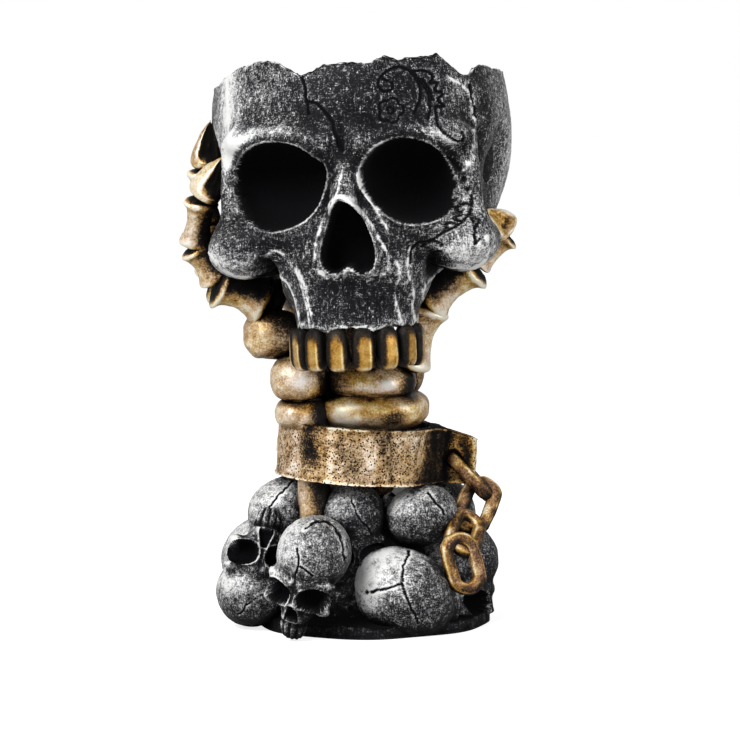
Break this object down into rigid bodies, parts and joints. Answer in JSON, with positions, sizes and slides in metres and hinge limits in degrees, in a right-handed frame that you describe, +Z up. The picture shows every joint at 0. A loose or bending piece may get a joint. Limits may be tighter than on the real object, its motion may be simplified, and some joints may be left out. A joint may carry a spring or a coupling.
{
  "type": "skull planter",
  "caption": "Open-topped skull plant pot held up by a skeleton hand, its shackled wrist set in a heap of small skulls with a chain.",
  "frame": {"origin": "on the flat underside of the plinth, below the middle of the wrist", "axes": "+Z up, the skull's face towards -Y, the chain on the +X side"},
  "size_m": [0.103, 0.1103, 0.1767],
  "materials": {
    "antique_silver": "cast resin painted black, with silver brushed over the raised parts",
    "antique_bronze": "cast resin painted black, with pale bronze and gold brushed over the raised parts",
    "dark_plinth": "cast resin painted black, with a little silver on its edges"
  },
  "bodies": {
    "root": {"capitate": "antique_bronze", "chain_link_1": "antique_bronze", "chain_link_2": "antique_bronze", "chain_link_3": "antique_bronze", "chain_link_4": "antique_bronze", "front_right_skull": "antique_silver", "front_skull": "antique_silver", "hamate": "antique_bronze", "index_distal_phalanx": "antique_bronze", "index_metacarpal": "antique_bronze", "index_middle_phalanx": "antique_bronze", "index_proximal_phalanx": "antique_bronze", "left_inverted_skull": "antique_silver", "little_distal_phalanx": "antique_bronze", "little_metacarpal": "antique_bronze", "little_middle_phalanx": "antique_bronze", "little_proximal_phalanx": "antique_bronze", "lunate": "antique_bronze", "middle_distal_phalanx": "antique_bronze", "middle_metacarpal": "antique_bronze", "middle_middle_phalanx": "antique_bronze", "middle_proximal_phalanx": "antique_bronze", "middle_skull": "antique_silver", "pisiform": "antique_bronze", "plinth": "dark_plinth", "radius": "antique_bronze", "rear_left_skull": "antique_silver", "rear_right_skull": "antique_silver", "rear_skull": "antique_silver", "right_skull": "antique_silver", "ring_distal_phalanx": "antique_bronze", "ring_metacarpal": "antique_bronze", "ring_middle_phalanx": "antique_bronze", "ring_proximal_phalanx": "antique_bronze", "scaphoid": "antique_bronze", "skull_bowl": "antique_silver", "thumb_distal_phalanx": "antique_bronze", "thumb_metacarpal": "antique_bronze", "thumb_proximal_phalanx": "antique_bronze", "trapezoid": "antique_bronze", "triquetrum": "antique_bronze", "ulna": "antique_bronze", "upper_left_skull": "antique_silver", "upper_rear_right_skull": "antique_silver", "upper_rear_skull": "antique_silver", "upper_right_skull": "antique_silver", "upper_tooth_left_1": "antique_bronze", "upper_tooth_left_2": "antique_bronze", "upper_tooth_left_3": "antique_bronze", "upper_tooth_left_4": "antique_bronze", "upper_tooth_right_1": "antique_bronze", "upper_tooth_right_2": "antique_bronze", "upper_tooth_right_3": "antique_bronze", "upper_tooth_right_4": "antique_bronze", "wrist_shackle": "antique_bronze"}
  },
  "joints": []
}
